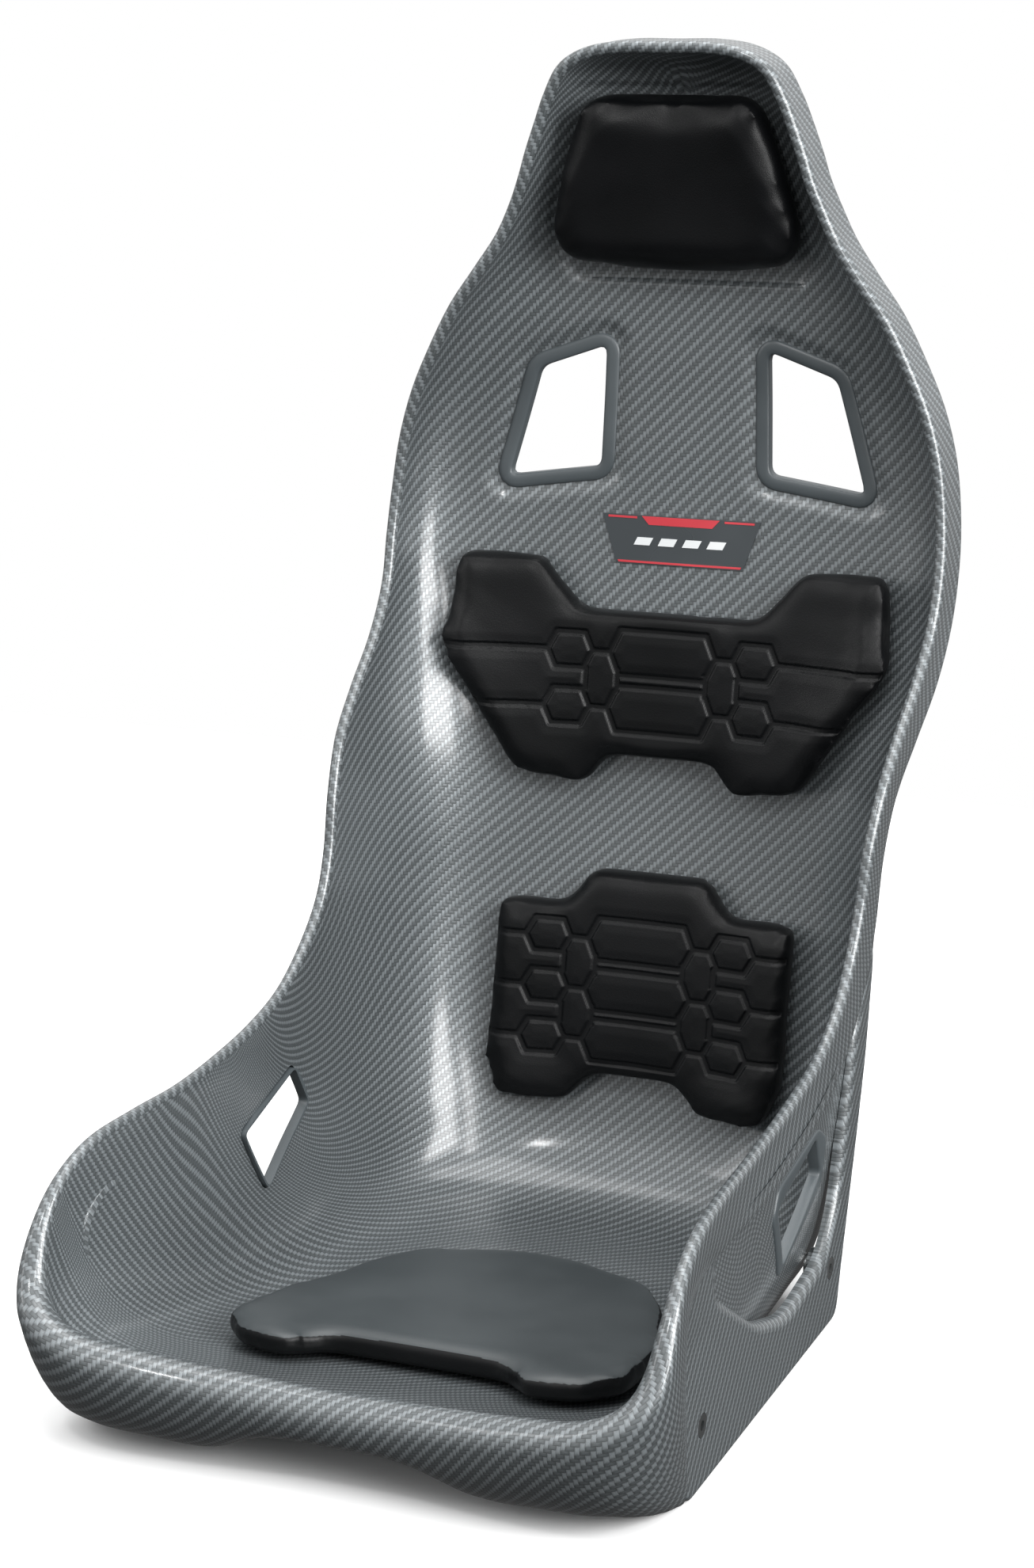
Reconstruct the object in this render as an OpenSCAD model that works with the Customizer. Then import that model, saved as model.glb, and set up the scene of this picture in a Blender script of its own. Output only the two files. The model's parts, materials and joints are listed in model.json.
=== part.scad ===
// Fixed-back carbon-fibre racing seat with four removable pads.
// Origin: middle of the footprint on the floor. +Z up, the sitter faces -Y, +X is the sitter's left.

/* [Shell] */
// Thickness of the carbon laminate
skin_t = 4; // [3:0.5:5]
// Depth of the returned flange round the rim
flange_d = 38; // [30:1:42]
// Outward draft of that flange over its depth
flange_draft = 2; // [1:0.5:4]
// Thickness of each pedestal side
side_t = 4; // [3:0.5:5]
// Outer face of each pedestal side, from the middle
side_x = 213; // [212:0.5:214]
// Width of the turned-in foot flange
foot_w = 24; // [16:1:30]

/* [Pads] */
// Thickness of the shoulder and lumbar pads
back_pad_t = 24; // [18:1:28]
// Thickness of the seat cushion
cushion_t = 20; // [16:1:30]
// Thickness of the head pad
head_pad_t = 34; // [24:1:38]
// Thickness of a pad's cover material
cover_t = 1.6; // [1:0.2:2.4]
// Clearance between a hook patch and its loop patch
pad_gap = 0.8; // [0.6:0.1:1.2]

/* [Fittings] */
// Core radius of the M8 side-mount thread
insert_r = 3.4; // [3.3:0.05:3.5]
// Outer radius of the side-mount insert's barrel
insert_barrel_r = 8; // [7:0.5:10]
// Length of the side-mount insert
insert_len = 18; // [14:1:22]
// Distance between the front and rear side mounts
mount_pitch = 280; // [270:5:285]
// Height of the side mounts above the floor
mount_z = 44; // [36:1:50]
// Front side mount, measured from the middle of the model before it is centred
mount_front_y = -228; // [-232:1:-222]
// Thickness of the frames round the slots
bezel_t = 1.6; // [1:0.2:2.4]
// Width of the frame round each harness slot
bezel_w = 11; // [8:1:13]

/* [Hidden] */

// Moves the model so that the origin is under the middle of its box
origin_y = 13.1;
carbon = [0.36, 0.38, 0.39];
smooth_grey = [0.24, 0.25, 0.26];
leather = [0.09, 0.1, 0.11];
foam_grey = [0.3, 0.3, 0.31];
hook_black = [0.13, 0.13, 0.14];
steel = [0.7, 0.7, 0.72];

// One half of the rim, from the top of the head round the side to the middle of the front lip.
// Each row: rim crest x, y, z; spine point y, z; lean of the wall; flatness; wall; roll radius
stations = [
    [0, 266, 884, 314, 846, 90, 0.5, 0.4, 4.5],
    [32, 266, 884, 314, 846, 90, 0.5, 0.4, 4.5],
    [58, 266, 880, 314, 846, 90, 0.5, 0.4, 4.5],
    [76, 266, 870, 314, 846, 90, 0.5, 0.4, 4.5],
    [87, 268, 851, 314, 846, 90, 0.5, 0.4, 4.5],
    [95, 270, 831, 317, 829, 90, 0.5, 0.4, 4.5],
    [103, 271, 809, 320, 808, 90, 0.5, 0.4, 4.5],
    [109, 272, 790, 322, 788, 90, 0.5, 0.4, 4.5],
    [118, 275, 768, 324, 766, 90, 0.5, 0.4, 4.5],
    [130, 276, 744, 325, 742, 90, 0.5, 0.4, 4.5],
    [148, 275, 718, 326, 716, 90, 0.5, 0.35, 4.5],
    [168, 275, 690, 326, 688, 90, 0.5, 0.3, 4.5],
    [185, 275, 658, 325, 657, 90, 0.5, 0.3, 4.5],
    [200, 275, 624, 324, 624, 90, 0.5, 0.3, 4.5],
    [210, 274, 588, 322, 588, 90, 0.5, 0.3, 4.5],
    [215, 271, 551, 320, 550, 88, 0.5, 0.3, 4.5],
    [217, 264, 515, 317, 512, 85, 0.5, 0.3, 4.5],
    [216, 251, 476, 313, 472, 80, 0.52, 0.32, 4.5],
    [214, 222, 440, 308, 430, 75, 0.55, 0.35, 4.5],
    [212, 183, 407, 302, 385, 70, 0.58, 0.4, 4.5],
    [210, 150, 374, 294, 340, 68, 0.62, 0.48, 4.5],
    [207, 129, 335, 284, 292, 66, 0.66, 0.55, 4.5],
    [205, 116, 292, 272, 242, 62, 0.72, 0.6, 4.5],
    [204, 98, 258, 260, 190, 55, 0.78, 0.64, 4.5],
    [204, 66, 228, 252, 140, 45, 0.82, 0.68, 4.5],
    [203, 25, 206, 242, 92, 33, 0.85, 0.7, 4.5],
    [202, -25, 194, 215, 37, 24, 0.88, 0.72, 4.5],
    [202, -80, 187, 156, 6, 18, 0.9, 0.62, 4.5],
    [203, -135, 183, 70, 9, 15, 0.9, 0.66, 4.5],
    [206, -190, 183, -20, 12, 15, 0.9, 0.7, 4.5],
    [210, -245, 180, -115, 19, 18, 0.88, 0.66, 4.5],
    [212, -285, 165, -200, 29, 22, 0.82, 0.6, 5],
    [211, -309, 140, -262, 42, 25, 0.76, 0.5, 7],
    [206, -322, 112, -262, 42, 22, 0.65, 0.35, 10],
    [194, -328, 90, -262, 42, 15, 0.6, 0.3, 13],
    [172, -328, 76, -262, 42, 10, 0.55, 0.25, 15],
    [135, -322, 68, -262, 42, 8, 0.5, 0.2, 16],
    [92, -315, 62, -262, 42, 8, 0.5, 0.15, 16],
    [46, -310, 58, -262, 42, 8, 0.5, 0.15, 16],
    [0, -308, 56, -262, 42, 8, 0.5, 0.15, 16]];
// Lower edge of the nose, the feet and the arch between them, from row foot_row of the stations on
foot_row = 31;
foot_edge = [
    [214, -262, 126], [214, -262, 84], [213, -257, 36], [209, -250, 0], [188, -256, 0],
    [150, -260, 0], [104, -260, 0], [60, -288, 30], [0, -290, 34]];
last = len(stations) - 1;
// Rows between which the spine point travels; outside them the sections fan out of one point
fan_top = 4;
fan_front = 32;
// Steps between two rows, across the inner face, round the roll and down the flange
row_steps = 2;
wall_steps = 8;
roll_steps = 4;
edge_steps = 3;

function flipped(row) = [for (i = [0:len(row) - 1]) i == 0 ? -row[i] : row[i]];
function station(i) = i < 0 ? flipped(stations[-i])
    : i > last ? flipped(stations[2 * last - i]) : stations[i];
// Smooth curve through four neighbours
function through(a, b, c, d, t) =
    (2 * b + (c - a) * t + (2 * a - 5 * b + 4 * c - d) * t * t
    + (3 * b - a - 3 * c + d) * t * t * t) / 2;
function blended(s) = let (i = floor(s), t = s - i)
    t == 0 ? station(i) : through(station(i - 1), station(i), station(i + 1), station(i + 2), t);
function unit(v) = v / norm(v);

function crest(s) = let (q = blended(s)) [q[0], q[1], q[2]];
function spine(s) = let (q = blended(min(max(s, fan_top), fan_front))) [0, q[3], q[4]];
function wall_dir(s) = let (q = blended(s)) [0, -sin(q[5]), cos(q[5])];
function spine_dir(s) = let (c = min(max(s, fan_top + 0.5), fan_front - 0.5))
    unit(spine(c + 0.5) - spine(c - 0.5));
// Away from the sitter at the spine
function spine_out(s) = let (d = spine_dir(s)) [0, -d[2], d[1]];
// Away from the inside of the seat at the rim
function rim_out(s) = let (
        t = crest(s + 0.5) - crest(s - 0.5),
        o = unit(cross(t, wall_dir(s))))
    o * (crest(s) - spine(s)) > 0 ? o : -o;

function flange_edge(i) = let (q = station(i))
    i < foot_row ? crest(i) + (2 * q[8] + flange_draft) * rim_out(i) - flange_d * wall_dir(i)
    : i > last ? flipped(foot_edge[2 * last - i - foot_row]) : foot_edge[i - foot_row];
function edge(s) = let (i = floor(s), t = s - i)
    t == 0 ? flange_edge(i)
    : through(flange_edge(i - 1), flange_edge(i), flange_edge(i + 1), flange_edge(i + 2), t);
// Nothing reaches below the floor
function floored(p) = [p[0], p[1], max(p[2], 0)];

// Start of the section curve at the spine: sideways, or along the fan at the two ends
function spine_pull(s, w) = let (
        v = crest(s) - spine(s),
        n = spine_out(s))
    s <= fan_top || s >= fan_front ? v - (v * n) * n : [w, 0, 0];
function bezier(a, b, c, d, u) = let (v = 1 - u)
    v * v * v * a + 3 * v * v * u * b + 3 * v * u * u * c + u * u * u * d;
// Point of the inner face: u is 0 at the spine and 1 at the crest; sunk is the depth into the laminate
function face(s, u, sunk = 0) = let (
        q = blended(s),
        c = spine(s) + sunk * spine_out(s),
        r = crest(s) + sunk * rim_out(s),
        depth = norm(crest(s) - spine(s)))
    bezier(c, c + q[6] * spine_pull(s, q[0]), r - q[7] * depth * wall_dir(s), r, u);
function roll(s, a, sunk = 0) = let (q = blended(s), o = rim_out(s))
    crest(s) + q[8] * o + (q[8] - sunk) * (sin(a) * wall_dir(s) - cos(a) * o);
function apron(s, u, sunk = 0) = let (
        q = blended(s),
        a = roll(s, 180, sunk),
        e = edge(s) - (sunk > 0 ? sunk : 0) * rim_out(s),
        m = a - 0.5 * norm(e - a) * wall_dir(s))
    floored((1 - u) * (1 - u) * a + 2 * u * (1 - u) * m + u * u * e);
// One section of the shell from next to the spine to the lower edge of its flange
function section_line(s, sunk) = concat(
    [for (j = [1:wall_steps]) face(s, j / wall_steps, sunk)],
    [for (j = [1:roll_steps]) roll(s, 180 * j / roll_steps, sunk)],
    [for (j = [1:edge_steps]) apron(s, j / edge_steps, sunk)]);

function mirrored(points) = [for (p = points) [-p[0], p[1], p[2]]];

// The shell as one closed skin: a ring of sections on each side of a shared spine
module shell_skin() {
    half = last * row_steps;
    ring = 2 * half;
    deep = wall_steps + roll_steps + edge_steps;
    spine_a = fan_top * row_steps;
    spine_b = fan_front * row_steps;
    spine_n = spine_b - spine_a + 1;
    function lines(sunk) = [for (k = [0:ring - 1]) let (
            right = k <= half,
            s = (right ? k : ring - k) / row_steps,
            line = section_line(s, sunk))
        each right ? line : mirrored(line)];
    function spines(sunk) = [for (k = [spine_a:spine_b])
        spine(k / row_steps) + sunk * spine_out(k / row_steps)];
    points = concat(lines(0), lines(skin_t), spines(0), spines(skin_t));
    function at(k, j, side) = let (m = k % ring, h = m <= half ? m : ring - m)
        j == 0 ? 2 * ring * deep + side * spine_n + min(max(h, spine_a), spine_b) - spine_a
        : side * ring * deep + m * deep + j - 1;
    function pair(a, b, c, d) = concat(
        a == b || b == c || c == a ? [] : [[a, b, c]],
        a == c || c == d || d == a ? [] : [[a, c, d]]);
    faces = [for (k = [0:ring - 1]) each concat(
        [for (j = [0:deep - 1]) each
            pair(at(k, j, 0), at(k, j + 1, 0), at(k + 1, j + 1, 0), at(k + 1, j, 0))],
        [for (j = [0:deep - 1]) each
            pair(at(k, j, 1), at(k + 1, j, 1), at(k + 1, j + 1, 1), at(k, j + 1, 1))],
        pair(at(k, deep, 0), at(k, deep, 1), at(k + 1, deep, 1), at(k + 1, deep, 0)))];
    polyhedron(points, faces, convexity = 8);
}

// Outline of a pad or slot, with each corner rounded over the length r
function rounded(points, r, n = 4) = let (m = len(points)) [for (i = [0:m - 1]) each let (
        a = points[(i + m - 1) % m],
        b = points[i],
        c = points[(i + 1) % m],
        d = min(r, 0.45 * norm(a - b), 0.45 * norm(c - b)),
        p = b + d * unit(a - b),
        q = b + d * unit(c - b))
    [for (k = [0:n]) let (t = k / n) (1 - t) * (1 - t) * p + 2 * t * (1 - t) * b + t * t * q]];
function both_sides(half) = concat(half,
    [for (i = [len(half) - 1:-1:0]) [-half[i][0], half[i][1]]]);

// An outline moved outward by d, or inward where d is negative
function grown(points, d) = let (
        m = len(points),
        area = [for (i = [0:m - 1]) cross(points[i], points[(i + 1) % m])] * [for (i = [0:m - 1]) 1],
        turn = area > 0 ? 1 : -1)
    [for (i = [0:m - 1]) let (
            a = unit(points[i] - points[(i + m - 1) % m]),
            b = unit(points[(i + 1) % m] - points[i]),
            n = unit([a[1] + b[1], -a[0] - b[0]]))
        points[i] + turn * d / max(0.5, n * [a[1], -a[0]]) * n];

head_outline = rounded(both_sides([[70, 847], [99, 762], [99, 740], [84, 723], [58, 721]]), 18);
shoulder_outline = rounded(both_sides([[71, 466], [110, 504], [181, 503], [187, 433], [120, 328],
    [61, 319], [43, 342]]), 9);
lumbar_outline = rounded(both_sides([[49, 267], [69, 241], [127, 237], [127, 112], [113, 80],
    [59, 74], [33, 97]]), 7);
cushion_outline = rounded(both_sides([[62, -200], [88, -228], [128, -218], [152, -186],
    [148, -110], [120, -25], [92, 18], [58, 26], [38, 38]]), 9);
harness_slot_corners = [[66, 662], [121, 643], [146, 557], [69, 568]];
// The opening in the laminate is wider than the frame's own opening by its sleeve
sleeve_t = 3;
harness_opening = rounded(harness_slot_corners, 7);
harness_slot = grown(harness_opening, sleeve_t);
lap_slot = rounded([[30, 148], [48, 116], [-26, 74], [-54, 124]], 5);
lap_recess = rounded([[60, 140], [36, 154], [-52, 140], [-64, 120], [-34, 66], [56, 106]], 8);
badge_outline = rounded(both_sides([[66, 532], [52, 494]]), 4);

function skin(s, u) = let (p = face(s, abs(u))) u < 0 ? [-p[0], p[1], p[2]] : p;
// A layer of the space in front of the shell, from lo to hi along a direction
module skin_layer(s, u, along, lo, hi, ns = 9, nu = 12) {
    function sheet(d) = [for (i = [0:ns]) for (j = [0:nu])
        skin(s[0] + (s[1] - s[0]) * i / ns, u[0] + (u[1] - u[0]) * j / nu) + d * along];
    points = concat(sheet(lo), sheet(hi));
    high = (ns + 1) * (nu + 1);
    function at(i, j) = i * (nu + 1) + j;
    function tiles(base, flip) = [for (i = [0:ns - 1]) for (j = [0:nu - 1]) each
        let (a = base + at(i, j), b = base + at(i, j + 1),
            c = base + at(i + 1, j + 1), d = base + at(i + 1, j))
        flip ? [[a, b, c], [a, c, d]] : [[a, c, b], [a, d, c]]];
    rim = concat([for (j = [0:nu - 1]) at(0, j)], [for (i = [0:ns - 1]) at(i, nu)],
        [for (j = [nu:-1:1]) at(ns, j)], [for (i = [ns:-1:1]) at(i, 0)]);
    n = len(rim);
    walls = [for (k = [0:n - 1]) each
        let (a = rim[k], b = rim[(k + 1) % n])
        [[a, b, b + high], [a, b + high, a + high]]];
    turned = along[0] > 0;
    faces = concat(tiles(0, turned), tiles(high, !turned),
        turned ? [for (f = walls) [f[0], f[2], f[1]]] : walls);
    translate([0, origin_y, 0]) polyhedron(points, faces, convexity = 6);
}
forward = [0, -1, 0];
outward = [1, 0, 0];
upward = [0, 0, 1];
// Prisms of an outline that points forward, upward or sideways
module forward_prism(outline) translate([0, 500, 0]) rotate([90, 0, 0]) linear_extrude(1000) polygon(outline);
module upward_prism(outline) translate([0, origin_y, -100]) linear_extrude(500) polygon(outline);
module sideways_prism(outline, x, w) translate([x, origin_y, 0])
    rotate([90, 0, 90]) linear_extrude(w) polygon(outline);

module seat_shell() {
    color(carbon) difference() {
        translate([0, origin_y, 0]) shell_skin();
        for (side = [0, 1]) mirror([side, 0, 0]) {
            forward_prism(harness_slot);
            sideways_prism(grown(lap_slot, sleeve_t), 150, 100);
        }
    }
}

// Upper border of a pedestal side, which tucks inside the flange of the rim
side_top = [for (s = [31:-1:22]) let (p = crest(s) - (flange_d - 12) * wall_dir(s)) [p[1], p[2]]];
side_outline = concat([[71, 0], [-250, 0], [-257, 36], [-262, 84], [-262, 120]], side_top,
    [[146, 250], [132, 180], [116, 130], [98, 80], [80, 30]]);
side_window = rounded([[-205, 122], [-112, 66], [-46, 46], [40, 56], [70, 88], [90, 150], [106, 205],
    [60, 290], [-200, 290]], 16);
// The window's edge is turned in as far as the side wall of the bucket
window_lip_x = 205;
rear_mount_y = mount_front_y + mount_pitch;

module pedestal_side(side) {
    color(carbon) mirror([side, 0, 0]) difference() {
        union() {
            difference() {
                sideways_prism(side_outline, side_x - side_t, side_t);
                sideways_prism(side_window, side_x - side_t - 1, side_t + 2);
            }
            // Turned-in edge of the window
            intersection() {
                sideways_prism(side_outline, window_lip_x, side_x - window_lip_x - 1);
                difference() {
                    sideways_prism(grown(side_window, 3), window_lip_x, 20);
                    sideways_prism(side_window, window_lip_x - 1, 30);
                }
            }
            // Foot flange
            sideways_prism([[-246, 0], [66, 0], [66, 4], [-246, 4]], side_x - foot_w, foot_w);
            // Bosses moulded round the side mounts
            for (y = [mount_front_y, rear_mount_y]) side_cylinder(y, insert_barrel_r + 5, 0);
        }
        for (y = [mount_front_y, rear_mount_y]) side_cylinder(y, insert_barrel_r, 1);
    }
}
// Round bar along X at a side mount, longer by extra at both ends
module side_cylinder(y, r, extra)
    translate([side_x - insert_len - extra, y + origin_y, mount_z]) rotate([0, 90, 0])
        cylinder(r = r, h = insert_len + 2 * extra, $fn = 48);
module side_inserts(side) {
    color(steel) mirror([side, 0, 0])
        for (y = [mount_front_y, rear_mount_y]) difference() {
            side_cylinder(y, insert_barrel_r, 0);
            side_cylinder(y, insert_r, 1);
        }
}

// Frame round a harness slot: a flat band on the face and a sleeve through the laminate
module harness_bezel(side) {
    color(smooth_grey) mirror([side, 0, 0]) difference() {
        union() {
            intersection() {
                skin_layer([11, 18], [0.1, 0.85], forward, 0, bezel_t, 10, 10);
                forward_prism(grown(harness_opening, bezel_w));
            }
            intersection() {
                skin_layer([11, 18], [0.1, 0.85], forward, -skin_t - 2, 0.5, 10, 10);
                forward_prism(harness_slot);
            }
        }
        forward_prism(harness_opening);
    }
}
// Frame round a lap-belt slot: inner lip, sleeve through the laminate and hexagonal outer plate
module lap_slot_trim(side) {
    color(smooth_grey) mirror([side, 0, 0]) difference() {
        union() {
            lap_ring(-1.2, 0, grown(lap_slot, sleeve_t + 3));
            lap_ring(-0.6, skin_t + 1, grown(lap_slot, sleeve_t));
            lap_ring(skin_t, skin_t + bezel_t, lap_recess);
        }
        sideways_prism(lap_slot, 140, 120);
    }
}
module lap_ring(lo, hi, outline) intersection() {
    skin_layer([23, 29.5], [0.5, 1], outward, lo, hi, 8, 6);
    sideways_prism(outline, 150, 80);
}
module badge_plate() {
    color(smooth_grey) intersection() {
        skin_layer([14.5, 17.5], [-0.5, 0.5], forward, 0, 1.2, 6, 10);
        forward_prism(badge_outline);
    }
}

// One pad's own kit: the hook patch stays on the shell, the rest comes off with the pad
hook_t = 1.2;
loop_lo = hook_t + pad_gap;
cover_lo = loop_lo + 1.2;
module prism_along(along, outline) {
    if (along[2] > 0) upward_prism(outline);
    else forward_prism(outline);
}
module pad_layer(spec, lo, hi, inset) intersection() {
    skin_layer(spec[0], spec[1], spec[2], lo, hi);
    prism_along(spec[2], grown(spec[3], -inset));
}
module pad_cover(spec) color(leather) difference() {
    pad_layer(spec, cover_lo, cover_lo + spec[4], 0);
    pad_layer(spec, cover_lo + cover_t, cover_lo + spec[4] - cover_t, cover_t);
}
module pad_foam(spec) color(foam_grey)
    pad_layer(spec, cover_lo + cover_t + 0.2, cover_lo + spec[4] - cover_t - 0.2, cover_t + 0.2);
module pad_loop(spec) color(hook_black) intersection() {
    skin_layer(spec[0], spec[1], spec[2], loop_lo, cover_lo);
    prism_along(spec[2], spec[5]);
}
module pad_hook(spec) color(hook_black) intersection() {
    skin_layer(spec[0], spec[1], spec[2], 0, hook_t);
    prism_along(spec[2], spec[5]);
}
function patch(x, lo, hi) = [[-x, lo], [x, lo], [x, hi], [-x, hi]];
// Each pad: rows of the shell it covers, spread to each side, direction it comes off in,
// outline, thickness and patch outline
head = [[3, 11.5], [-1, 1], forward, head_outline, head_pad_t, patch(45, 745, 820)];
shoulder = [[15.5, 22], [-1, 1], forward, shoulder_outline, back_pad_t, patch(90, 370, 445)];
lumbar = [[20.5, 26.5], [-0.85, 0.85], forward, lumbar_outline, back_pad_t, patch(75, 110, 220)];
cushion = [[26, 31.9], [-0.95, 0.95], upward, cushion_outline, cushion_t, patch(75, -170, -20)];

module head_pad_cover() pad_cover(head);
module head_pad_foam() pad_foam(head);
module head_pad_loop() pad_loop(head);
module head_hook_patch() pad_hook(head);
module shoulder_pad_cover() pad_cover(shoulder);
module shoulder_pad_foam() pad_foam(shoulder);
module shoulder_pad_loop() pad_loop(shoulder);
module shoulder_hook_patch() pad_hook(shoulder);
module lumbar_pad_cover() pad_cover(lumbar);
module lumbar_pad_foam() pad_foam(lumbar);
module lumbar_pad_loop() pad_loop(lumbar);
module lumbar_hook_patch() pad_hook(lumbar);
module cushion_cover() pad_cover(cushion);
module cushion_foam() pad_foam(cushion);
module cushion_loop() pad_loop(cushion);
module cushion_hook_patch() pad_hook(cushion);

seat_shell();
pedestal_side(0);  // pedestal_side_left
pedestal_side(1);  // pedestal_side_right
harness_bezel(0);  // harness_bezel_left
harness_bezel(1);  // harness_bezel_right
lap_slot_trim(0);  // lap_slot_trim_left
lap_slot_trim(1);  // lap_slot_trim_right
side_inserts(0);  // side_inserts_left
side_inserts(1);  // side_inserts_right
badge_plate();
head_pad_cover();
head_pad_foam();
head_pad_loop();
head_hook_patch();
shoulder_pad_cover();
shoulder_pad_foam();
shoulder_pad_loop();
shoulder_hook_patch();
lumbar_pad_cover();
lumbar_pad_foam();
lumbar_pad_loop();
lumbar_hook_patch();
cushion_cover();
cushion_foam();
cushion_loop();
cushion_hook_patch();
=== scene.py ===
import json
import math

import bmesh
import bpy
import numpy as np
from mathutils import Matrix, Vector
from mathutils.bvhtree import BVHTree
from mathutils.geometry import tessellate_polygon


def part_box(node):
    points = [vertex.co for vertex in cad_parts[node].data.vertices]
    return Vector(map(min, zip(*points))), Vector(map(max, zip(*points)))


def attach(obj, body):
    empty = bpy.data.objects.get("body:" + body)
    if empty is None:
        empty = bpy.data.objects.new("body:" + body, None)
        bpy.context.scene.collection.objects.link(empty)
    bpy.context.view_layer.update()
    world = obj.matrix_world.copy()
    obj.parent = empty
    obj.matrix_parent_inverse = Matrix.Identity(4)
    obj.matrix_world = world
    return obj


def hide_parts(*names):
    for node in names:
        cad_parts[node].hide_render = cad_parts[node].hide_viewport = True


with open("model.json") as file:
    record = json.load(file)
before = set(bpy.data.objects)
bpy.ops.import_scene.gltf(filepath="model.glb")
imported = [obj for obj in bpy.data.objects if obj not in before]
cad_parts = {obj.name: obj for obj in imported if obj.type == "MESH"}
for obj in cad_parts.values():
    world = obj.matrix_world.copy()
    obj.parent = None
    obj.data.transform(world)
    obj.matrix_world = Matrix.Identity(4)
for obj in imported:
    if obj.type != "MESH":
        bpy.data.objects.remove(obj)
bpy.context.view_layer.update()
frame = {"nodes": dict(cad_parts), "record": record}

NODES = frame["nodes"]
SCENE = bpy.context.scene
MM = 0.001

# ---------------------------------------------------------------- laminate
# One half of the rim, from the top of the head round the side to the middle of the front lip, in mm.
# Each row: rim crest x, y, z; spine point y, z; lean of the wall; flatness; wall; roll radius
STATIONS = [
    [0, 266, 884, 314, 846, 90, 0.5, 0.4, 4.5],
    [32, 266, 884, 314, 846, 90, 0.5, 0.4, 4.5],
    [58, 266, 880, 314, 846, 90, 0.5, 0.4, 4.5],
    [76, 266, 870, 314, 846, 90, 0.5, 0.4, 4.5],
    [87, 268, 851, 314, 846, 90, 0.5, 0.4, 4.5],
    [95, 270, 831, 317, 829, 90, 0.5, 0.4, 4.5],
    [103, 271, 809, 320, 808, 90, 0.5, 0.4, 4.5],
    [109, 272, 790, 322, 788, 90, 0.5, 0.4, 4.5],
    [118, 275, 768, 324, 766, 90, 0.5, 0.4, 4.5],
    [130, 276, 744, 325, 742, 90, 0.5, 0.4, 4.5],
    [148, 275, 718, 326, 716, 90, 0.5, 0.35, 4.5],
    [168, 275, 690, 326, 688, 90, 0.5, 0.3, 4.5],
    [185, 275, 658, 325, 657, 90, 0.5, 0.3, 4.5],
    [200, 275, 624, 324, 624, 90, 0.5, 0.3, 4.5],
    [210, 274, 588, 322, 588, 90, 0.5, 0.3, 4.5],
    [215, 271, 551, 320, 550, 88, 0.5, 0.3, 4.5],
    [217, 264, 515, 317, 512, 85, 0.5, 0.3, 4.5],
    [216, 251, 476, 313, 472, 80, 0.52, 0.32, 4.5],
    [214, 222, 440, 308, 430, 75, 0.55, 0.35, 4.5],
    [212, 183, 407, 302, 385, 70, 0.58, 0.4, 4.5],
    [210, 150, 374, 294, 340, 68, 0.62, 0.48, 4.5],
    [207, 129, 335, 284, 292, 66, 0.66, 0.55, 4.5],
    [205, 116, 292, 272, 242, 62, 0.72, 0.6, 4.5],
    [204, 98, 258, 260, 190, 55, 0.78, 0.64, 4.5],
    [204, 66, 228, 252, 140, 45, 0.82, 0.68, 4.5],
    [203, 25, 206, 242, 92, 33, 0.85, 0.7, 4.5],
    [202, -25, 194, 215, 37, 24, 0.88, 0.72, 4.5],
    [202, -80, 187, 156, 6, 18, 0.9, 0.62, 4.5],
    [203, -135, 183, 70, 9, 15, 0.9, 0.66, 4.5],
    [206, -190, 183, -20, 12, 15, 0.9, 0.7, 4.5],
    [210, -245, 180, -115, 19, 18, 0.88, 0.66, 4.5],
    [212, -285, 165, -200, 29, 22, 0.82, 0.6, 5],
    [211, -309, 140, -262, 42, 25, 0.76, 0.5, 7],
    [206, -322, 112, -262, 42, 22, 0.65, 0.35, 10],
    [194, -328, 90, -262, 42, 15, 0.6, 0.3, 13],
    [172, -328, 76, -262, 42, 10, 0.55, 0.25, 15],
    [135, -322, 68, -262, 42, 8, 0.5, 0.2, 16],
    [92, -315, 62, -262, 42, 8, 0.5, 0.15, 16],
    [46, -310, 58, -262, 42, 8, 0.5, 0.15, 16],
    [0, -308, 56, -262, 42, 8, 0.5, 0.15, 16]]
# Lower edge of the nose, the feet and the arch between them, from row FOOT_ROW on
FOOT_ROW = 31
FOOT_EDGE = [
    [213.5, -262, 126], [213.5, -262, 84], [213.5, -257, 36], [210, -250, 0], [188, -256, 0],
    [150, -260, 0], [104, -260, 0], [60, -288, 30], [0, -290, 34]]
LAST = len(STATIONS) - 1
FAN_TOP, FAN_FRONT = 4, 32
SKIN = 4.0
FLANGE = 38.0
DRAFT = 2.0
# Plane of the pedestal sides, and the rows whose flange runs flush into them
SIDE_X = 213.0
SIDE_ROWS = (21, 31)
# Radius of the edge of the laminate, which is turned in
LIP = 5.0
ROW_STEPS, WALL_STEPS, ROLL_STEPS, APRON_STEPS, LIP_STEPS = 10, 52, 8, 10, 4

HARNESS_SLOT = [[66, 662], [121, 643], [146, 557], [69, 568]]
LAP_SLOT = [[30, 148], [48, 116], [-26, 74], [-54, 124]]
LAP_RECESS = [[60, 140], [36, 154], [-52, 140], [-64, 120], [-34, 66], [56, 106]]
HEAD_RECESS = [[-78, 862], [78, 862], [92, 840], [108, 762], [108, 735], [92, 712],
               [-92, 712], [-108, 735], [-108, 762], [-92, 840]]


def unit(v):
    return v / np.linalg.norm(v, axis=-1, keepdims=True)


def smooth_step(x, a, b):
    t = np.clip((np.asarray(x, float) - a) / (b - a), 0, 1)
    return t * t * (3 - 2 * t)


def flipped(row):
    return [-row[0], *row[1:]]


def extended(rows):
    """The rows with three mirrored ones added at each end of the half rim."""
    return np.array([flipped(rows[i]) for i in (3, 2, 1)] + rows
                    + [flipped(rows[-1 - i]) for i in (1, 2, 3)], float)


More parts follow.
